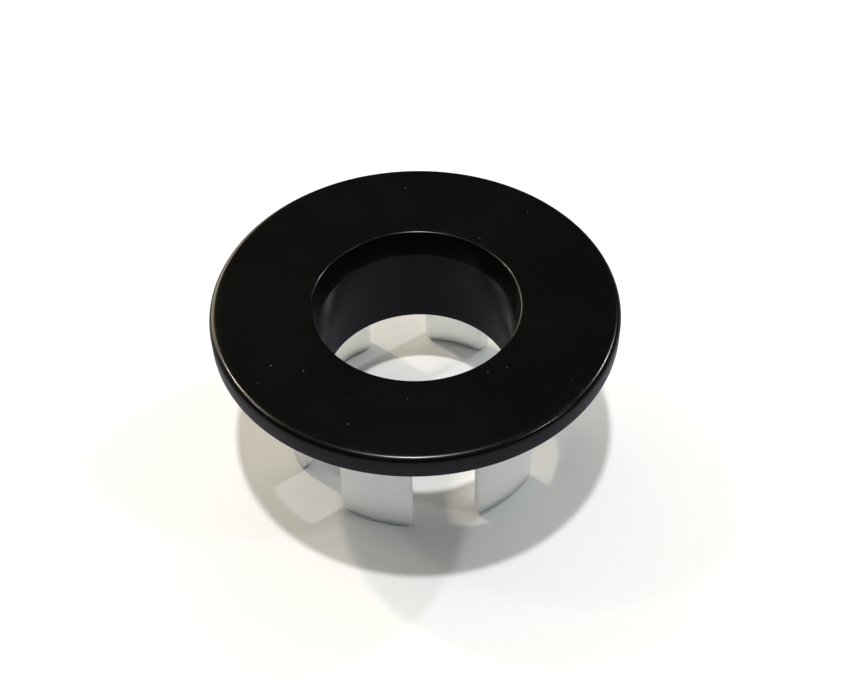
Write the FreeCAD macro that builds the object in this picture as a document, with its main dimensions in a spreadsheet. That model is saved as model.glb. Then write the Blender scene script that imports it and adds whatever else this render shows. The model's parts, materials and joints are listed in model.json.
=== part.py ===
import FreeCAD, Part
import math
import os
import Sketcher

# Overflow trim ring for a basin: a black metal ring with a short tube, and a translucent snap-in clip of
# six springy legs that sits on the tube. +Z is up and the part stands on the feet of its legs, with the
# origin on the ring's axis at the height of the feet. All sizes are millimetres.

doc = FreeCAD.newDocument("OverflowTrimRing")

# ---- driving dimensions -------------------------------------------------------------------------------

dimensions = [
    ("overallHeight", 14.0, "from the feet to the top of the ring"),
    ("flangeDiameter", 30.0, "outside of the ring that shows on the basin"),
    ("flangeThickness", 1.8, "thickness of that ring at its edge"),
    ("topDish", 0.3, "how far the top face falls from its edge to the mouth of the bore"),
    ("rimRounding", 0.5, "rounding of the ring's outer top edge"),
    ("undersideRounding", 0.15, "rounding of the ring's outer bottom edge"),
    ("waterwayDiameter", 14.5, "bore that the water runs through"),
    ("reliefDepth", 0.3, "shallow relief in the ring's underside, which the clip's web sits in"),
    ("reliefClearance", 0.2, "from the clip's widest part out to the edge of that relief"),
    ("bevelWidth", 0.4, "how much wider the bore is at its mouth"),
    ("bevelDepth", 2.3, "from the top of the ring to the end of the bevel at the mouth"),
    ("mouthRounding", 0.18, "rounding of the edge round the mouth"),
    ("tubeWall", 0.65, "wall of the tube under the ring"),
    ("tubeLength", 9.0, "from the top of the ring to the tube's lower end"),
    ("tubeEndChamfer", 0.15, "chamfer on the tube's lower outside edge"),
    ("snapBeadProud", 0.22, "how far the retaining bead stands out of the tube"),
    ("snapBeadHeight", 0.55, "height of that bead"),
    ("snapClearance", 0.05, "between the clip's sleeve and the tube, and over the bead"),
    ("sleeveWall", 0.75, "wall of the clip's sleeve on the tube"),
    ("sleeveHeight", 3.7, "height of the sleeve, with the web"),
    ("webThickness", 1.2, "thickness of the clip's flat web under the ring"),
    ("webOverhang", 0.6, "how far the web reaches past the legs"),
    ("legCount", 6, "legs round the clip"),
    ("legStartAngle", 10.0, "direction of the first leg, from +X towards +Y"),
    ("legGap", 0.5, "space between the sleeve and a leg"),
    ("legWall", 1.1, "thickness of a leg"),
    ("slotWidth", 4.8, "width of the slot between two legs"),
    ("footRounding", 0.5, "rounding of a foot's two corners"),
    ("footChamfer", 0.25, "lead-in chamfer on a foot's outside edge"),
    ("ribProud", 0.9, "how far a grip rib stands out of a leg"),
    ("ribHeight", 1.1, "height of a rib, ramp and all"),
    ("ribLand", 0.2, "flat crest of a rib"),
    ("ribPitch", 1.4, "from one rib to the next"),
    ("ribDrop", 1.4, "from the underside of the web to the upper rib"),
    ("hingeClearance", 0.05, "round the knuckle that a leg bends about"),
    ("hingeEndClearance", 0.12, "at each end of that knuckle"),
    ("hingeInset", 0.35, "from a leg's side to the end of its knuckle"),
    ("rootGap", 0.25, "from the web down to the top of a leg's wall"),
]

sheet = doc.addObject("Spreadsheet::Sheet", "Sizes")
for row, (alias, value, meaning) in enumerate(dimensions, start=1):
    sheet.set(f"A{row}", meaning)
    sheet.set(f"B{row}", str(value))
    sheet.setAlias(f"B{row}", alias)
doc.recompute()

# ---- derived places, as expressions on the sheet ------------------------------------------------------

topZ = "Sizes.overallHeight"
mouthZ = f"({topZ} - Sizes.topDish)"
undersideZ = f"({topZ} - Sizes.flangeThickness)"
clipTopZ = f"({undersideZ} + Sizes.reliefDepth)"
webBottomZ = f"({clipTopZ} - Sizes.webThickness)"
sleeveBottomZ = f"({clipTopZ} - Sizes.sleeveHeight)"
beadTopZ = f"({sleeveBottomZ} - Sizes.snapClearance)"
beadBottomZ = f"({beadTopZ} - Sizes.snapBeadHeight)"
tubeEndZ = f"({topZ} - Sizes.tubeLength)"
bevelEndZ = f"({topZ} - Sizes.bevelDepth)"

flangeR = "(Sizes.flangeDiameter / 2)"
boreR = "(Sizes.waterwayDiameter / 2)"
mouthR = f"({boreR} + Sizes.bevelWidth)"
tubeR = f"({boreR} + Sizes.tubeWall)"
sleeveInnerR = f"({tubeR} + Sizes.snapClearance)"
sleeveOuterR = f"({sleeveInnerR} + Sizes.sleeveWall)"
legInnerR = f"({sleeveOuterR} + Sizes.legGap)"
legOuterR = f"({legInnerR} + Sizes.legWall)"
webR = f"({legOuterR} + Sizes.webOverhang)"
ribR = f"({legOuterR} + Sizes.ribProud)"
reliefR = f"(max({webR}; {ribR}) + Sizes.reliefClearance)"
hingeR = f"({legInnerR} + Sizes.legWall / 2)"
knuckleR = "(Sizes.legWall / 2)"
grooveR = f"({knuckleR} + Sizes.hingeClearance)"
legPitch = "(360 deg / Sizes.legCount)"
slotHalfAngle = f"asin(Sizes.slotWidth / 2 / {hingeR})"
legHalfWidth = f"({hingeR} * sin({legPitch} / 2 - {slotHalfAngle}))"
knuckleLength = f"(2 * ({legHalfWidth} - Sizes.hingeInset))"
grooveLength = f"({knuckleLength} + 2 * Sizes.hingeEndClearance)"


def number(expression):
    """The present value of an expression, in millimetres or degrees."""
    found = sheet.evalExpression(expression)
    return float(getattr(found, "Value", found))


# ---- helpers ------------------------------------------------------------------------------------------


def newBody(label):
    body = doc.addObject("PartDesign::Body", label)
    body.Label = label
    return body


def originPlane(body, role):
    return next(item for item in body.Origin.OriginFeatures if item.Role == role)


def newSketch(body, name, role):
    sketch = body.newObject("Sketcher::SketchObject", name)
    sketch.AttachmentSupport = [(originPlane(body, role), "")]
    sketch.MapMode = "FlatFace"
    return sketch


def pin(sketch, axis, geometry, end, expression):
    """Ties one coordinate of a point to an expression. A zero sits on the sketch's own axis."""
    value = number(expression)
    if abs(value) < 1e-9:
        onAxis = -1 if axis == "Y" else -2
        sketch.addConstraint(Sketcher.Constraint("PointOnObject", geometry, end, onAxis))
        return
    index = sketch.addConstraint(Sketcher.Constraint("Distance" + axis, -1, 1, geometry, end, value))
    sketch.setExpression(f"Constraints[{index}]", expression)


def outline(sketch, corners):
    """A closed outline of straight sides. Each corner is a pair of expressions."""
    points = [FreeCAD.Vector(number(x), number(y), 0) for x, y in corners]
    for start, finish in zip(points, points[1:] + points[:1]):
        sketch.addGeometry(Part.LineSegment(start, finish), False)
    for side in range(len(points)):
        following = (side + 1) % len(points)
        sketch.addConstraint(Sketcher.Constraint("Coincident", side, 2, following, 1))
    for side, (x, y) in enumerate(corners):
        pin(sketch, "X", side, 1, x)
        pin(sketch, "Y", side, 1, y)


def disc(sketch, x, y, radius):
    """A circle whose centre and radius are expressions."""
    centre = FreeCAD.Vector(number(x), number(y), 0)
    sketch.addGeometry(Part.Circle(centre, FreeCAD.Vector(0, 0, 1), number(radius)), False)
    pin(sketch, "X", 0, 3, x)
    pin(sketch, "Y", 0, 3, y)
    index = sketch.addConstraint(Sketcher.Constraint("Radius", 0, number(radius)))
    sketch.setExpression(f"Constraints[{index}]", radius)


def revolve(body, name, sketch, angle="360 deg"):
    """Turns a profile about +Z, half of the angle to each side of the profile's plane."""
    turned = body.newObject("PartDesign::Revolution", name)
    turned.Profile = (sketch, [""])
    turned.ReferenceAxis = (sketch, ["V_Axis"])
    turned.Midplane = True
    turned.setExpression("Angle", angle)
    return turned


def edgesWhere(feature, test):
    """Names of the feature's edges that pass a test."""
    doc.recompute()
    names = [f"Edge{i}" for i, edge in enumerate(feature.Shape.Edges, start=1) if test(edge)]
    if not names:
        raise RuntimeError(f"{feature.Name}: no edge to dress")
    return names


def near(value, expression):
    return abs(value - number(expression)) < 1e-4


def ringEdge(edge, radius, height):
    """True for a full circle of this radius at this height."""
    curve = edge.Curve
    return isinstance(curve, Part.Circle) and near(curve.Radius, radius) and near(curve.Center.z, height)


def roundEdges(body, name, base, names, radius):
    fillet = body.newObject("PartDesign::Fillet", name)
    fillet.Base = (base, names)
    fillet.setExpression("Radius", radius)
    return fillet


# ---- the metal ring and its tube ----------------------------------------------------------------------


def makeTrimRing():
    body = newBody("trim_ring")
    profile = newSketch(body, "RingProfile", "XZ_Plane")
    outline(
        profile,
        [
            (mouthR, mouthZ),
            (boreR, bevelEndZ),
            (boreR, tubeEndZ),
            (f"({tubeR} - Sizes.tubeEndChamfer)", tubeEndZ),
            (tubeR, f"({tubeEndZ} + Sizes.tubeEndChamfer)"),
            (tubeR, f"({beadBottomZ} - Sizes.snapBeadProud)"),
            (f"({tubeR} + Sizes.snapBeadProud)", beadBottomZ),
            (f"({tubeR} + Sizes.snapBeadProud)", f"({beadTopZ} - Sizes.snapBeadProud)"),
            (tubeR, beadTopZ),
            (tubeR, clipTopZ),
            (reliefR, clipTopZ),
            (reliefR, undersideZ),
            (flangeR, undersideZ),
            (flangeR, topZ),
        ],
    )
    ring = revolve(body, "RingTurned", profile)
    rim = edgesWhere(ring, lambda edge: ringEdge(edge, flangeR, topZ))
    ring = roundEdges(body, "RimRounded", ring, rim, "Sizes.rimRounding")
    lower = edgesWhere(ring, lambda edge: ringEdge(edge, flangeR, undersideZ))
    ring = roundEdges(body, "RimUnderRounded", ring, lower, "Sizes.undersideRounding")
    mouth = edgesWhere(ring, lambda edge: ringEdge(edge, mouthR, mouthZ))
    roundEdges(body, "MouthRounded", ring, mouth, "Sizes.mouthRounding")
    return body


# ---- the clip's sleeve and web ------------------------------------------------------------------------


def makeClipCollar():
    body = newBody("clip_collar")
    profile = newSketch(body, "CollarProfile", "XZ_Plane")
    outline(
        profile,
        [
            (sleeveInnerR, clipTopZ),
            (sleeveInnerR, sleeveBottomZ),
            (sleeveOuterR, sleeveBottomZ),
            (sleeveOuterR, webBottomZ),
            (webR, webBottomZ),
            (webR, clipTopZ),
        ],
    )
    collar = revolve(body, "CollarTurned", profile)
    doc.recompute()
    whole = collar.Shape.Volume
    grooveSketch = newSketch(body, "GrooveSection", "XZ_Plane")
    disc(grooveSketch, hingeR, webBottomZ, grooveR)
    groove = body.newObject("PartDesign::Pocket", "KnuckleGroove")
    groove.Profile = (grooveSketch, [""])
    groove.Midplane = True
    groove.setExpression("Length", grooveLength)
    doc.recompute()
    grooves = body.newObject("PartDesign::PolarPattern", "KnuckleGrooves")
    grooves.Originals = [groove]
    grooves.Axis = (originPlane(body, "Z_Axis"), [""])
    grooves.Angle = 360
    grooves.setExpression("Occurrences", "Sizes.legCount")
    body.Tip = grooves
    doc.recompute()
    # each groove is half a disc deep in the web
    removed = whole - grooves.Shape.Volume
    expected = number("Sizes.legCount") * math.pi * number(grooveR) ** 2 / 2 * number(grooveLength)
    if abs(removed - expected) > 0.05 * expected:
        raise RuntimeError(f"the knuckle grooves cut {removed:.3f} mm3, not {expected:.3f}")
    body.Placement = FreeCAD.Placement(
        FreeCAD.Vector(0, 0, 0), FreeCAD.Rotation(FreeCAD.Vector(0, 0, 1), number("Sizes.legStartAngle"))
    )
    return body


# ---- one leg ------------------------------------------------------------------------------------------


def ribCorners(top):
    """The four corners of one grip rib, from its foot up: a long ramp, a crest, and a short back."""
    back = f"({top} - Sizes.ribProud / 3)"
    return [
        (legOuterR, f"({top} - Sizes.ribHeight)"),
        (ribR, f"({back} - Sizes.ribLand)"),
        (ribR, back),
        (legOuterR, top),
    ]


def makeLeg(which):
    body = newBody(f"clip_leg_{which}")
    profile = newSketch(body, "LegProfile", "XZ_Plane")
    upperRib = f"({webBottomZ} - Sizes.ribDrop)"
    lowerRib = f"({upperRib} - Sizes.ribPitch)"
    wallTop = f"({webBottomZ} - Sizes.rootGap)"
    outline(
        profile,
        [
            (legInnerR, "0 mm"),
            (f"({legOuterR} - Sizes.footChamfer)", "0 mm"),
            (legOuterR, "Sizes.footChamfer"),
        ]
        + ribCorners(lowerRib)
        + ribCorners(upperRib)
        + [(legOuterR, wallTop), (legInnerR, wallTop)],
    )
    leg = revolve(body, "LegTurned", profile, legPitch)
    # parallel-sided slots stand half a pitch to each side of the leg
    slotSketch = newSketch(body, "SlotOutline", "XY_Plane")
    turn = FreeCAD.Rotation(FreeCAD.Vector(0, 0, 1), number(f"{legPitch} / 2"))
    slotSketch.AttachmentOffset = FreeCAD.Placement(FreeCAD.Vector(0, 0, 0), turn)
    slotSketch.setExpression(".AttachmentOffset.Rotation.Angle", f"{legPitch} / 2")
    halfSlot = "(Sizes.slotWidth / 2)"
    outline(
        slotSketch,
        [
            (boreR, f"-{halfSlot}"),
            (flangeR, f"-{halfSlot}"),
            (flangeR, halfSlot),
            (boreR, halfSlot),
        ],
    )
    doc.recompute()
    whole = leg.Shape.Volume
    slot = body.newObject("PartDesign::Pocket", "Slot")
    slot.Profile = (slotSketch, [""])
    slot.Midplane = True
    slot.setExpression("Length", f"3 * {topZ}")
    doc.recompute()
    slots = body.newObject("PartDesign::Mirrored", "SlotMirrored")
    slots.Originals = [slot]
    slots.MirrorPlane = (originPlane(body, "XZ_Plane"), [""])
    body.Tip = slots
    doc.recompute()
    if slots.Shape.Volume > 0.75 * whole:
        raise RuntimeError("the slots did not cut the leg")

    def footCorner(edge):
        ends = [vertex.Point for vertex in edge.Vertexes]
        low = all(abs(end.z) < 1e-6 for end in ends)
        return low and len(ends) == 2 and isinstance(edge.Curve, Part.Line)

    corners = edgesWhere(slots, footCorner)
    leg = roundEdges(body, "FootRounded", slots, corners, "Sizes.footRounding")
    knuckleSketch = newSketch(body, "KnuckleSection", "XZ_Plane")
    disc(knuckleSketch, hingeR, webBottomZ, knuckleR)
    knuckle = body.newObject("PartDesign::Pad", "Knuckle")
    knuckle.Profile = (knuckleSketch, [""])
    knuckle.Midplane = True
    knuckle.setExpression("Length", knuckleLength)
    body.Tip = knuckle
    angle = number("Sizes.legStartAngle") + (which - 1) * number(legPitch)
    body.Placement = FreeCAD.Placement(
        FreeCAD.Vector(0, 0, 0), FreeCAD.Rotation(FreeCAD.Vector(0, 0, 1), angle)
    )
    return body


# ---- build, check and write ---------------------------------------------------------------------------

pieces = [makeTrimRing(), makeClipCollar()]
for which in range(1, int(number("Sizes.legCount")) + 1):
    pieces.append(makeLeg(which))
doc.recompute()

for item in doc.Objects:
    if "Invalid" in item.State or "Error" in item.State:
        raise RuntimeError(f"{item.Name} ({item.Label}) failed: {item.State}")
for piece in pieces:
    shape = piece.Shape
    if shape.isNull() or not shape.isValid() or len(shape.Solids) != 1:
        raise RuntimeError(f"{piece.Label} is not one valid solid")

os.makedirs("parts", exist_ok=True)
for piece in pieces:
    piece.Shape.exportStep(f"parts/{piece.Label}.step")
    box = piece.Shape.BoundBox
    print(f"{piece.Label}: {piece.Shape.Volume:.2f} mm3, z {box.ZMin:.2f} to {box.ZMax:.2f}")
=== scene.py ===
import json
import math

import bpy
import numpy as np
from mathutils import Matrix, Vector


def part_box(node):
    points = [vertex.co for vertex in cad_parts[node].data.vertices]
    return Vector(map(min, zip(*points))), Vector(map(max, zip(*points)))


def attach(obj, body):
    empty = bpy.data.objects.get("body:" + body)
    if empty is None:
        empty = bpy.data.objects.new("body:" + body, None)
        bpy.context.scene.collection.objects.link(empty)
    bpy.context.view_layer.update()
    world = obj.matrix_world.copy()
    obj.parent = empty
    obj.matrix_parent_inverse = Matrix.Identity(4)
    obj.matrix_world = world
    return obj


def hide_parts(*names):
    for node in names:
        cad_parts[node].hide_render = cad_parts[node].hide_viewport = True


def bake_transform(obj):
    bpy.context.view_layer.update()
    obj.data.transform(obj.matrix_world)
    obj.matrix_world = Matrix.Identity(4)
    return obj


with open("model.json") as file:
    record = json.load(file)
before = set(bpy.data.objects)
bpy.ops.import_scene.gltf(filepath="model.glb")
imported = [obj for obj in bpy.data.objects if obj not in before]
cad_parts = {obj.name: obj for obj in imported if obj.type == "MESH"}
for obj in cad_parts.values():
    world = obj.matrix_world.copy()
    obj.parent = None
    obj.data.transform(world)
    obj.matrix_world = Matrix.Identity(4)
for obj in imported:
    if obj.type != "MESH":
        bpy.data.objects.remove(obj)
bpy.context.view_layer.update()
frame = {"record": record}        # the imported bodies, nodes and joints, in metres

mm = 0.001

# Overflow trim ring for a basin: a black coated ring and tube, and a milky snap-in clip with six legs.
# Pieces are numpy surfaces in the CAD frame, finishes are node materials on Object coordinates.


# ---- surface tools ----

def roundedPath(corners, closed, arcSteps=9, longest=0.6 * mm):
    # Straight sides with a tangent arc in each corner. A corner is (x, y, radius). An arc's centre lies on
    # the bisector at radius / sin(half angle), its ends at radius / tan(half angle) along the two sides.
    # Returns the points and, for each, 1 on an arc and 0 on a straight side.
    count = len(corners)
    points, onArc = [], []
    for i, (x, y, radius) in enumerate(corners):
        here = np.array((x, y))
        if not closed and i in (0, count - 1):
            arc, flag = here[None, :], np.zeros(1)
        else:
            before = np.array(corners[i - 1][:2]) - here
            after = np.array(corners[(i + 1) % count][:2]) - here
            before, after = before / np.linalg.norm(before), after / np.linalg.norm(after)
            half = math.acos(np.clip(before @ after, -1, 1)) / 2
            centre = here + (before + after) / np.linalg.norm(before + after) * radius / math.sin(half)
            start, end = here + before * radius / math.tan(half), here + after * radius / math.tan(half)
            a, b = (start - centre) / radius, (end - centre) / radius
            sweep = math.pi - 2 * half
            t = np.linspace(0, 1, arcSteps)[:, None]
            arc = centre + radius * (np.sin((1 - t) * sweep) * a + np.sin(t * sweep) * b) / math.sin(sweep)
            flag = np.ones(arcSteps)
        if points:
            gap = arc[0] - points[-1][-1]
            steps = max(1, math.ceil(np.linalg.norm(gap) / longest))
            t = np.linspace(0, 1, steps + 1)[1:-1, None]
            points.append(points[-1][-1] + t * gap)
            onArc.append(np.zeros(len(t)))
        points.append(arc)
        onArc.append(flag)
    if closed:
        gap = points[0][0] - points[-1][-1]
        t = np.linspace(0, 1, max(1, math.ceil(np.linalg.norm(gap) / longest)) + 1)[1:-1, None]
        points.append(points[-1][-1] + t * gap)
        onArc.append(np.zeros(len(t)))
    return np.concatenate(points), np.concatenate(onArc)


def gridFaces(rows, columns, rowsClose):
    # Quads between neighbouring rows of a grid whose columns always close on themselves.
    i = np.arange(rows if rowsClose else rows - 1)[:, None]
    j = np.arange(columns)[None, :]
    nextI, nextJ = (i + 1) % rows, (j + 1) % columns
    quads = np.stack([i * columns + j, i * columns + nextJ, nextI * columns + nextJ, nextI * columns + j], -1)
    return quads.reshape(-1, 4)


def capFaces(columns, first, flip):
    # Closes a ring of points that mirrors itself: point k pairs with point (columns - k) across the wall.
    k = np.arange(1, columns // 2 - 1)
    quads = np.stack([k, k + 1, columns - k - 1, columns - k], -1)
    ends = np.array([[0, 1, columns - 1], [columns // 2 - 1, columns // 2, columns // 2 + 1]])
    if flip:
        quads, ends = quads[:, ::-1], ends[:, ::-1]
    return [first + quads, first + ends]


def makeSurface(name, points, faceSets, edgeMask):
    # Puts whole arrays into a mesh, turned so that its signed volume is positive and faces look outwards.
    volume = 0.0
    for faces in faceSets:
        a, b = points[faces[:, 0]], points[faces[:, 1]]
        for k in range(2, faces.shape[1]):
            c = points[faces[:, k]]
            volume += np.einsum("ij,ij->i", a, np.cross(b, c)).sum() / 6
            b = c
    if volume < 0:
        faceSets = [faces[:, ::-1] for faces in faceSets]
    sizes = np.concatenate([np.full(len(faces), faces.shape[1]) for faces in faceSets])
    corners = np.concatenate([faces.ravel() for faces in faceSets])
    mesh = bpy.data.meshes.new(name)
    mesh.vertices.add(len(points))
    mesh.vertices.foreach_set("co", points.astype(np.float32).ravel())
    mesh.loops.add(len(corners))
    mesh.loops.foreach_set("vertex_index", corners.astype(np.int32))
    mesh.polygons.add(len(sizes))
    mesh.polygons.foreach_set("loop_start", np.concatenate([[0], np.cumsum(sizes)[:-1]]).astype(np.int32))
    mesh.update(calc_edges=True)
    mesh.attributes.new("edgeMask", "FLOAT", "POINT").data.foreach_set("value", edgeMask.astype(np.float32))
    mesh.shade_smooth()
    mesh.validate()
    piece = bpy.data.objects.new(name, mesh)
    bpy.context.scene.collection.objects.link(piece)
    return piece


def turnedSurface(name, outline, segments):
    # A closed outline (r, z) turned about +Z: x = r cos a, y = r sin a, for a from 0 to a full turn.
    profile, edge = roundedPath(outline, closed=True)
    a = np.linspace(0, 2 * np.pi, segments, endpoint=False)[:, None]
    r, z = profile[None, :, 0], profile[None, :, 1]
    grid = np.stack([r * np.cos(a), r * np.sin(a), np.broadcast_to(z, (segments, len(profile)))], -1)
    faces = gridFaces(segments, len(profile), rowsClose=True)
    return makeSurface(name, grid.reshape(-1, 3), [faces], np.tile(edge, segments))


# ---- what the frame says ----

ringLow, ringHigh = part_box("trim_ring")
collarLow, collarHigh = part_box("clip_collar")
mounts = {mount["name"]: mount for mount in frame["record"]["mounts"]}
joints = frame["record"]["behaviour"]["joints"]
topZ = ringHigh.z
flangeR = ringHigh.x
tubeEndZ = ringLow.z
seatZ = mounts["basin_seat"]["pos_m"][2]
boreR = mounts["waterway"]["dims"]["r_mm"] * mm
clipTopZ = collarHigh.z
sleeveEndZ = collarLow.z
webR = collarHigh.x
webBottomZ = joints[0]["pos_m"][2]
hingeR = math.hypot(*joints[0]["pos_m"][:2])


# ---- shader tools ----

def addNode(tree, kind, inputs=None, **settings):
    # A node with its settings. An input is a value, or another node's output, which is linked.
    node = tree.nodes.new(kind)
    for key, value in settings.items():
        setattr(node, key, value)
    for key, value in (inputs or {}).items():
        if isinstance(value, bpy.types.NodeSocket):
            tree.links.new(value, node.inputs[key])
        else:
            node.inputs[key].default_value = value
    return node


def maths(tree, operation, first, second):
    return addNode(tree, "ShaderNodeMath", {0: first, 1: second}, operation=operation).outputs[0]


def between(tree, value, low, high, newLow=0.0, newHigh=1.0):
    # Smoothly carries value from the range low..high to newLow..newHigh, and holds it there beyond.
    node = addNode(tree, "ShaderNodeMapRange", interpolation_type="SMOOTHSTEP")
    tree.links.new(value, node.inputs["Value"])
    for key, number in zip(("From Min", "From Max", "To Min", "To Max"), (low, high, newLow, newHigh)):
        if isinstance(number, bpy.types.NodeSocket):
            tree.links.new(number, node.inputs[key])
        else:
            node.inputs[key].default_value = number
    return node.outputs["Result"]


def mixColour(tree, factor, first, second):
    node = addNode(tree, "ShaderNodeMix", data_type="RGBA")
    for key, value in ((0, factor), (6, first), (7, second)):
        if isinstance(value, bpy.types.NodeSocket):
            tree.links.new(value, node.inputs[key])
        else:
            node.inputs[key].default_value = value
    return node.outputs[2]


def newGroup(name, inputs, outputs):
    # An empty shader group. inputs holds (label, value) of plain numbers, outputs the labels of values.
    tree = bpy.data.node_groups.new(name, "ShaderNodeTree")
    for label, value in inputs:
        socket = tree.interface.new_socket(label, in_out="INPUT", socket_type="NodeSocketFloat")
        socket.default_value = value
    for label in outputs:
        tree.interface.new_socket(label, in_out="OUTPUT", socket_type="NodeSocketFloat")
    return tree, tree.nodes.new("NodeGroupInput").outputs, tree.nodes.new("NodeGroupOutput").inputs


def useGroup(tree, group, values):
    node = addNode(tree, "ShaderNodeGroup", node_tree=group)
    for key, value in values.items():
        node.inputs[key].default_value = value
    return node.outputs


def noise(tree, where, scale, detail=3.0, roughness=0.5):
    values = {"Vector": where, "Scale": scale, "Detail": detail, "Roughness": roughness}
    return addNode(tree, "ShaderNodeTexNoise", values).outputs["Fac"]


def newMaterial(name):
    material = bpy.data.materials.new(name)
    material.use_nodes = True
    tree = material.node_tree
    shader = tree.nodes["Principled BSDF"]
    return material, tree, shader


# ---- shared effects, each built once ----

def makeFineGrain():
    # Orange peel of a sprayed or moulded skin: a broad ripple with a finer grain on top.
    tree, given, out = newGroup(
        "fineGrain", [("Ripple per metre", 2500.0), ("Grain per metre", 16000.0), ("Grain share", 0.35)],
        ["Height", "Tone"])
    where = addNode(tree, "ShaderNodeTexCoord").outputs["Object"]
    ripple = noise(tree, where, given["Ripple per metre"], 2.0)
    grain = noise(tree, where, given["Grain per metre"], 2.0, 0.6)
    scaled = maths(tree, "MULTIPLY", grain, given["Grain share"])
    tree.links.new(maths(tree, "ADD", ripple, scaled), out["Height"])
    tree.links.new(between(tree, ripple, 0.3, 0.7), out["Tone"])
    return tree


def makeSettledDust():
    # Sparse specks on faces that look up: small cells of a Voronoi pattern, thinned out by a noise.
    tree, given, out = newGroup("settledDust", [("Specks per metre", 900.0), ("Speck size", 0.06)], ["Mask"])
    where = addNode(tree, "ShaderNodeTexCoord").outputs["Object"]
    cells = addNode(tree, "ShaderNodeTexVoronoi", {"Vector": where, "Scale": given["Specks per metre"]})
    near = maths(tree, "LESS_THAN", cells.outputs["Distance"], given["Speck size"])
    chosen = maths(tree, "GREATER_THAN", noise(tree, where, 350.0, 2.0), 0.55)
    normal = addNode(tree, "ShaderNodeNewGeometry").outputs["Normal"]
    up = addNode(tree, "ShaderNodeSeparateXYZ", {0: normal}).outputs["Z"]
    facing = between(tree, up, 0.5, 0.95)
    tree.links.new(maths(tree, "MULTIPLY", maths(tree, "MULTIPLY", near, chosen), facing), out["Mask"])
    return tree


def makeHandling():
    # Broad, soft patches where fingers have polished or dulled a finish.
    tree, given, out = newGroup("handling", [("Patches per metre", 120.0)], ["Mask"])
    where = addNode(tree, "ShaderNodeTexCoord").outputs["Object"]
    warp = addNode(tree, "ShaderNodeTexNoise", {"Vector": where, "Scale": given["Patches per metre"],
                                                "Detail": 4.0, "Roughness": 0.55, "Distortion": 0.8})
    tree.links.new(between(tree, warp.outputs["Fac"], 0.35, 0.7), out["Mask"])
    return tree


def makeEdgeWear():
    # Rounded edges from the mesh's own edgeMask, broken up so that wear isn't an even line. On the black coating
    # the lighter edges are partly wear and partly a painted highlight along the rims.
    tree, given, out = newGroup("edgeWear", [("Breaks per metre", 700.0), ("Reach", 0.5)], ["Mask"])
    edge = addNode(tree, "ShaderNodeAttribute", attribute_name="edgeMask").outputs["Fac"]
    where = addNode(tree, "ShaderNodeTexCoord").outputs["Object"]
    broken = between(tree, noise(tree, where, given["Breaks per metre"], 4.0, 0.65), given["Reach"], 0.8)
    tree.links.new(maths(tree, "MULTIPLY", edge, broken), out["Mask"])
    return tree


fineGrain = makeFineGrain()
settledDust = makeSettledDust()
handling = makeHandling()
edgeWear = makeEdgeWear()
print("shared effects: fineGrain, settledDust, handling, edgeWear")


# ---- finishes ----

coatingLook = {
    "black": (0.0013, 0.0014, 0.0010, 1),
    # lighter on rounded edges: partly wear, partly a painted highlight line on the rims
    "wornEdge": (0.006, 0.006, 0.006, 1),
    "dust": (0.16, 0.16, 0.15, 1),
    "dustShare": 0.25,           # how much of a speck's colour covers the black
    "roughness": (0.21, 0.25),
    "dustRoughness": 0.3,        # what a speck adds
    "peelHeight": 0.0009 * mm,
    "ior": 1.46,
}


def makeCoating(look):
    material, tree, shader = newMaterial("satinBlackCoating")
    grain = useGroup(tree, fineGrain, {"Ripple per metre": 2600.0, "Grain per metre": 14000.0, "Grain share": 0.4})
    dust = useGroup(tree, settledDust, {"Specks per metre": 700.0, "Speck size": 0.045})["Mask"]
    marks = useGroup(tree, handling, {"Patches per metre": 110.0})["Mask"]
    wear = useGroup(tree, edgeWear, {"Breaks per metre": 900.0, "Reach": 0.5})["Mask"]
    # Rounded edges go lighter: partly wear, partly a painted highlight line on the rims.
    colour = mixColour(tree, wear, look["black"], look["wornEdge"])
    colour = mixColour(tree, maths(tree, "MULTIPLY", dust, look["dustShare"]), colour, look["dust"])
    tree.links.new(colour, shader.inputs["Base Color"])
    low, high = look["roughness"]
    roughness = between(tree, marks, 0.0, 1.0, low, high)
    roughness = maths(tree, "ADD", roughness, maths(tree, "MULTIPLY", dust, look["dustRoughness"]))
    tree.links.new(roughness, shader.inputs["Roughness"])
    bump = addNode(tree, "ShaderNodeBump", {"Strength": 1.0, "Distance": look["peelHeight"],
                                            "Height": grain["Height"]})
    tree.links.new(bump.outputs["Normal"], shader.inputs["Normal"])
    shader.inputs["IOR"].default_value = look["ior"]
    return material


plasticLook = {
    "clear": (0.86, 0.912, 0.918, 1),
    "cloud": (0.835, 0.882, 0.886, 1),
    "edge": (0.90, 0.935, 0.935, 1),
    "edgeShare": 0.5,            # how much of the edge colour a worn edge takes
    "roughness": (0.30, 0.35),
    "skinHeight": 0.0003 * mm,
    "scatterDepth": 4.0 * mm,
    "scatterTint": (1.0, 1.0, 0.95),
    "ior": 1.49,
}


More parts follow.
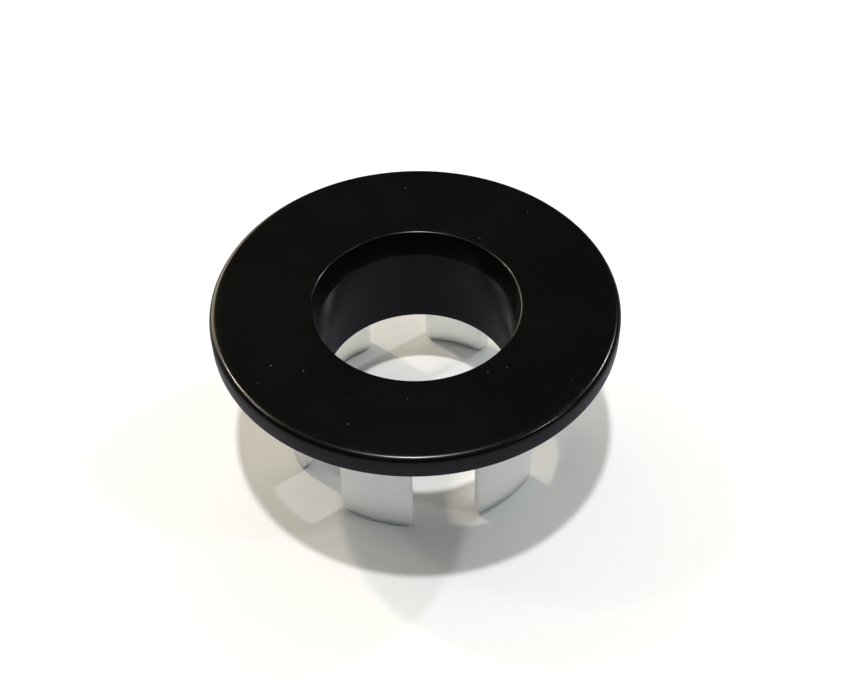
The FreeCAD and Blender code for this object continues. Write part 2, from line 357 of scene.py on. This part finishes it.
def makePlastic(look):
    material, tree, shader = newMaterial("milkyPlastic")
    grain = useGroup(tree, fineGrain, {"Ripple per metre": 900.0, "Grain per metre": 9000.0, "Grain share": 0.2})
    marks = useGroup(tree, handling, {"Patches per metre": 160.0})["Mask"]
    wear = useGroup(tree, edgeWear, {"Breaks per metre": 250.0, "Reach": 0.30})["Mask"]
    colour = mixColour(tree, marks, look["clear"], look["cloud"])
    colour = mixColour(tree, maths(tree, "MULTIPLY", wear, look["edgeShare"]), colour, look["edge"])
    tree.links.new(colour, shader.inputs["Base Color"])
    low, high = look["roughness"]
    tree.links.new(between(tree, grain["Tone"], 0.0, 1.0, low, high), shader.inputs["Roughness"])
    bump = addNode(tree, "ShaderNodeBump", {"Strength": 1.0, "Distance": look["skinHeight"],
                                            "Height": grain["Height"]})
    tree.links.new(bump.outputs["Normal"], shader.inputs["Normal"])
    shader.inputs["IOR"].default_value = look["ior"]
    shader.inputs["Subsurface Weight"].default_value = 1.0
    shader.inputs["Subsurface Radius"].default_value = look["scatterTint"]
    shader.inputs["Subsurface Scale"].default_value = look["scatterDepth"]
    return material


coating = makeCoating(coatingLook)
plastic = makePlastic(plasticLook)
print("finishes:", coating.name, plastic.name)


def finish(piece, material, slot, body, *nodes):
    piece.data.materials.append(material)
    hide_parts(*nodes)
    if body:
        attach(piece, body)


# ---- trim ring: flange, bevelled mouth and tube, one turned piece ----

ringShape = {
    "topDish": 0.30 * mm,
    "bevelWidth": 0.40 * mm,
    "bevelDepth": 2.30 * mm,
    "mouthRounding": 0.18 * mm,
    "bevelRounding": 0.05 * mm,
    "rimRounding": 0.50 * mm,
    "underRounding": 0.15 * mm,
    "tubeWall": 0.65 * mm,
    "tubeRounding": 0.14 * mm,
    "beadProud": 0.22 * mm,
    "beadHeight": 0.55 * mm,
    "snapClearance": 0.05 * mm,
    "reliefR": 11.40 * mm,
    "insideRounding": 0.08 * mm,
    "segments": 320,
}


def makeRing(shape):
    tubeR = boreR + shape["tubeWall"]
    beadR = tubeR + shape["beadProud"]
    beadTop = sleeveEndZ - shape["snapClearance"]
    beadBottom = beadTop - shape["beadHeight"]
    small = shape["insideRounding"]
    outline = [
        (boreR + shape["bevelWidth"], topZ - shape["topDish"], shape["mouthRounding"]),
        (boreR, topZ - shape["bevelDepth"], shape["bevelRounding"]),
        (boreR, tubeEndZ, small),
        (tubeR, tubeEndZ, shape["tubeRounding"]),
        (tubeR, beadBottom - shape["beadProud"], small),
        (beadR, beadBottom, small),
        (beadR, beadTop - shape["beadProud"], small),
        (tubeR, beadTop, small),
        (tubeR, clipTopZ, small),
        (shape["reliefR"], clipTopZ, small),
        (shape["reliefR"], seatZ, small),
        (flangeR, seatZ, shape["underRounding"]),
        (flangeR, topZ, shape["rimRounding"]),
    ]
    return turnedSurface("coated_ring", outline, shape["segments"])


coatedRing = makeRing(ringShape)
finish(coatedRing, coating, "satin_black", "ring", "trim_ring")
print("ring:", len(coatedRing.data.polygons), "faces")


# ---- clip: sleeve and web, turned ----

sleeveShape = {
    "clearance": 0.05 * mm,
    "wall": 0.75 * mm,
    "innerRounding": 0.12 * mm,
    "outerRounding": 0.20 * mm,
    "webRounding": 0.30 * mm,
    "topRounding": 0.10 * mm,
    "fillet": 0.30 * mm,
    "segments": 240,
}


def makeSleeve(shape):
    innerR = boreR + ringShape["tubeWall"] + shape["clearance"]
    outerR = innerR + shape["wall"]
    outline = [
        (innerR, clipTopZ, shape["topRounding"]),
        (innerR, sleeveEndZ, shape["innerRounding"]),
        (outerR, sleeveEndZ, shape["outerRounding"]),
        (outerR, webBottomZ, shape["fillet"]),
        (webR, webBottomZ, shape["webRounding"]),
        (webR, clipTopZ, shape["topRounding"]),
    ]
    return turnedSurface("clip_sleeve", outline, shape["segments"])


clipSleeve = makeSleeve(sleeveShape)
finish(clipSleeve, plastic, "clip_plastic", "ring", "clip_collar")
print("sleeve:", len(clipSleeve.data.polygons), "faces")


# ---- clip: six legs, each moulded into the web at its root ----

legShape = {
    "wall": 1.10 * mm,
    "slotWidth": 4.80 * mm,
    "cornerRounding": 0.50 * mm,
    "sideRounding": 0.30 * mm,
    "edgeRounding": 0.13 * mm,
    "footChamfer": 0.25 * mm,
    "rootFillet": 0.30 * mm,
    "rootOverlap": 0.15 * mm,
    "ribProud": 0.90 * mm,
    "ribHeight": 1.10 * mm,
    "ribLand": 0.20 * mm,
    "ribPitch": 1.40 * mm,
    "ribDrop": 1.40 * mm,
    "ribRounding": 0.07 * mm,
    "bendLength": 2.50 * mm,
    "sideSteps": 28,
    "wallSteps": 6,
    "cornerSteps": 6,
    "bodySteps": 40,
}


def rounding(depth, radius):
    # How far a quarter round of this radius has drawn in at a depth from its tangent face.
    inside = np.clip(radius - depth, 0, radius)
    return radius - np.sqrt(radius ** 2 - inside ** 2)


def sectionLoop(shape):
    # A rounded rectangle as four arrays: side fractions (sx, st) and corner arcs (cx, ct), anticlockwise from
    # the middle of one side face. A point is x = sx (W - e) + e cx and t = st (H - e) + e ct.
    side = np.linspace(1, -1, shape["sideSteps"] + 1)
    wall = np.linspace(1, -1, shape["wallSteps"] + 1)
    upper, lower = wall[:wall.size // 2 + 1][::-1], wall[wall.size // 2 + 1:][::-1]
    arc = np.linspace(0, np.pi / 2, shape["cornerSteps"] + 1)[1:-1]
    runs = [
        (1, upper, 1, 0),
        (1, 1, np.cos(arc), np.sin(arc)),
        (side, 1, 0, 1),
        (-1, 1, -np.sin(arc), np.cos(arc)),
        (-1, wall, -1, 0),
        (-1, -1, -np.cos(arc), -np.sin(arc)),
        (-side, -1, 0, -1),
        (1, -1, np.sin(arc), -np.cos(arc)),
        (1, lower, 1, 0),
    ]
    return [np.concatenate([np.broadcast_arrays(*run)[k] for run in runs]) for k in range(4)]


def ribOutline(shape, innerR, outerR):
    # The leg's outside from foot to root as (z, r): lead-in chamfer, then two ribs, each a ramp, crest and back.
    ribR = outerR + shape["ribProud"]
    corners = [(0.0, outerR - shape["footChamfer"], 0), (shape["footChamfer"], outerR, shape["ribRounding"])]
    for top in (webBottomZ - shape["ribDrop"] - shape["ribPitch"], webBottomZ - shape["ribDrop"]):
        back = top - shape["ribProud"] / 3
        corners += [
            (top - shape["ribHeight"], outerR, shape["ribRounding"]),
            (back - shape["ribLand"], ribR, shape["ribRounding"]),
            (back, ribR, shape["ribRounding"]),
            (top, outerR, shape["ribRounding"]),
        ]
    corners.append((webBottomZ + shape["rootOverlap"], outerR, 0))
    return roundedPath(corners, closed=False, arcSteps=6)


def makeLeg(name, azimuth, pitch, shape):
    # Rounded-rectangle sections stacked in z. Across a section r = middle + t and the angle is
    # x / width times the half angle that parallel-sided slots leave at r: pitch / 2 - asin(slot / 2r).
    innerR, outerR = hingeR - shape["wall"] / 2, hingeR + shape["wall"] / 2
    outside, outsideEdge = ribOutline(shape, innerR, outerR)
    turn = np.linspace(0, np.pi / 2, 12)
    heights = np.concatenate([
        shape["edgeRounding"] * (1 - np.cos(turn[::2])),
        shape["cornerRounding"] * (1 - np.cos(turn)),
        np.linspace(shape["cornerRounding"], webBottomZ - shape["rootFillet"], shape["bodySteps"]),
        outside[:, 0],
        webBottomZ - shape["rootFillet"] * (1 - np.sin(turn)),
    ])
    heights = np.unique(np.round(heights / (0.01 * mm)) * (0.01 * mm))[:, None]
    fillet = rounding(webBottomZ - heights, shape["rootFillet"])
    fillet = np.where(heights > webBottomZ, shape["rootFillet"], fillet)
    inset = rounding(heights, shape["edgeRounding"])
    outer = np.interp(heights, outside[:, 0], outside[:, 1])
    middle = (outer + innerR) / 2
    halfWall = (outer - innerR) / 2 + fillet - inset
    slotAngle = lambda r: pitch / 2 - np.arcsin(shape["slotWidth"] / 2 / r)
    fullWidth = slotAngle(middle) * middle
    halfWidth = fullWidth + fillet - inset - rounding(heights, shape["cornerRounding"])
    sx, st, cx, ct = sectionLoop(shape)
    e = shape["sideRounding"]
    x = sx * (halfWidth - e) + e * cx
    t = st * (halfWall - e) + e * ct
    r = middle + t
    angle = azimuth + x / fullWidth * slotAngle(r)
    grid = np.stack([r * np.cos(angle), r * np.sin(angle), np.broadcast_to(heights, r.shape)], -1)
    rows, columns = r.shape
    faceSets = [gridFaces(rows, columns, rowsClose=False)]
    faceSets += capFaces(columns, 0, flip=True)
    faceSets += capFaces(columns, (rows - 1) * columns, flip=False)
    crest = np.interp(heights, outside[:, 0], outsideEdge)
    onCorner = np.maximum(np.abs(cx * ct) > 0.01, crest * (st > 0.99))
    return makeSurface(name, grid.reshape(-1, 3), faceSets, onCorner.ravel())


legPitch = 2 * math.pi / len(joints)
for number, joint in enumerate(joints, start=1):
    hinge = joint["pos_m"]
    leg = makeLeg(f"moulded_leg_{number}", math.atan2(hinge[1], hinge[0]), legPitch, legShape)
    finish(leg, plastic, "clip_plastic", None, f"clip_leg_{number}")
    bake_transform(leg)
print("legs:", len(joints), "of", len(leg.data.polygons), "faces")


# ---- floor, lamps and camera ----

floorLook = {
    "halfSide": 2.0,
    "pale": (0.80, 0.80, 0.80, 1),
    "mirrored": (0.215, 0.205, 0.25, 1),    # painted reflection: the floor's colour in glossy rays only, darker and purplish, which the black coating mirrors
    "roughness": 0.8,
}


def makeFloor(look):
    mesh = bpy.data.meshes.new("floor")
    half = look["halfSide"]
    mesh.from_pydata([(-half, -half, 0), (half, -half, 0), (half, half, 0), (-half, half, 0)], [], [(0, 1, 2, 3)])
    floor = bpy.data.objects.new("floor", mesh)
    bpy.context.scene.collection.objects.link(floor)
    material, tree, shader = newMaterial("paleFloor")
    # Painted reflection: glossy rays see the floor in a darker, purplish colour instead of its pale one.
    mirrored = addNode(tree, "ShaderNodeLightPath").outputs["Is Glossy Ray"]
    colour = mixColour(tree, mirrored, look["pale"], look["mirrored"])
    tree.links.new(colour, shader.inputs["Base Color"])
    shader.inputs["Roughness"].default_value = look["roughness"]
    shader.inputs["Specular IOR Level"].default_value = 0.0
    floor.data.materials.append(material)


lamps = {
    # towards the lamp, share of the floor's brightness, colour, angular size in degrees
    "overhead": ((-0.4, -0.3, 13.3), 0.465, (0.985, 0.995, 1.0), 3.0),
    "rightBack": ((12.5, 8.7, 13.3), 0.12, (0.90, 0.97, 1.0), 3.0),
    "rightFront": ((13.5, -4.3, 13.3), 0.05, (0.90, 0.97, 1.0), 3.0),
    "leftBack": ((-9.5, 8.0, 13.3), 0.16, (1.0, 0.89, 0.70), 3.0),
    "leftSide": ((-12.0, 3.0, 13.3), 0.04, (1.0, 0.93, 0.82), 3.0),
}


def makeLamps():
    # A floor of albedo p under a sun of strength E, at height dz of a unit direction, shows p E dz / pi.
    for name, (towards, share, colour, size) in lamps.items():
        direction = np.array(towards) / np.linalg.norm(towards)
        lamp = bpy.data.lights.new(name, "SUN")
        lamp.energy = share * math.pi / (floorLook["pale"][0] * direction[2])
        lamp.color = colour
        lamp.angle = math.radians(size)
        holder = bpy.data.objects.new(name, lamp)
        holder.rotation_mode = "QUATERNION"
        holder.rotation_quaternion = Vector(direction).to_track_quat("Z", "Y")
        holder.location = direction * 0.4
        bpy.context.scene.collection.objects.link(holder)


skyLook = {
    "lean": (0.0, 0.6, 0.8),     # where the soft light is brightest
    "low": (0.033, 0.050, 0.072, 1),    # colour at right angles to that and beyond
    "high": (0.84, 0.79, 0.68, 1),
    "glowFrom": (-0.62, 0.73, 0.28),    # a warm glow, low at the back left
    "glow": (1.3, 1.13, 0.82),
    "glowEdge": (0.90, 0.985),   # cosines where the glow begins and is full
    "glowMirrored": 3.0,         # how much brighter the coating mirrors the glow
    "mirrored": (0.02, 0.0198, 0.019, 1),   # what the coating mirrors of the rest of the room
}


def makeWorld(look):
    # A softly lit room, brightest above the back, white where the camera looks past the floor.
    world = bpy.data.worlds.new("studio")
    world.use_nodes = True
    tree = world.node_tree
    background = tree.nodes["Background"]
    direction = addNode(tree, "ShaderNodeTexCoord").outputs["Generated"]
    lean = addNode(tree, "ShaderNodeVectorMath", {0: direction, 1: look["lean"]}, operation="DOT_PRODUCT")
    sky = mixColour(tree, between(tree, lean.outputs["Value"], 0.0, 1.0), look["low"], look["high"])
    path = addNode(tree, "ShaderNodeLightPath").outputs
    sky = mixColour(tree, path["Is Glossy Ray"], sky, look["mirrored"])
    towards = addNode(tree, "ShaderNodeVectorMath", {0: direction, 1: look["glowFrom"]}, operation="DOT_PRODUCT")
    warm = between(tree, towards.outputs["Value"], *look["glowEdge"])
    boost = addNode(tree, "ShaderNodeMix", {0: path["Is Glossy Ray"], 2: 1.0, 3: look["glowMirrored"]},
                    data_type="FLOAT").outputs[0]
    warm = maths(tree, "MULTIPLY", warm, boost)
    warm = addNode(tree, "ShaderNodeVectorMath", {0: look["glow"], "Scale": warm}, operation="SCALE").outputs[0]
    light = addNode(tree, "ShaderNodeVectorMath", {0: sky, 1: warm}, operation="ADD").outputs[0]
    tree.links.new(mixColour(tree, path["Is Camera Ray"], light, (1, 1, 1, 1)), background.inputs["Color"])
    bpy.context.scene.world = world


cameraPlace = {
    "back": 70.909 * mm,
    "above": 70.512 * mm,
    "turn": (43.047, -1.657, -3.722),
    "lens": 58.132,
    "shift": -0.1006,
}


def makeCamera(place):
    lens = bpy.data.cameras.new("camera")
    lens.lens = place["lens"]
    lens.sensor_width = 36.0
    lens.shift_x = place["shift"]
    lens.clip_start = 5 * mm
    lens.clip_end = 10.0
    camera = bpy.data.objects.new("camera", lens)
    camera.location = (0.0, -place["back"], topZ + place["above"])
    camera.rotation_euler = [math.radians(angle) for angle in place["turn"]]
    bpy.context.scene.collection.objects.link(camera)
    bpy.context.scene.camera = camera


makeFloor(floorLook)
makeLamps()
makeWorld(skyLook)
makeCamera(cameraPlace)
bpy.context.scene.view_settings.view_transform = "Standard"
print("stage: floor,", len(lamps), "lamps, camera")
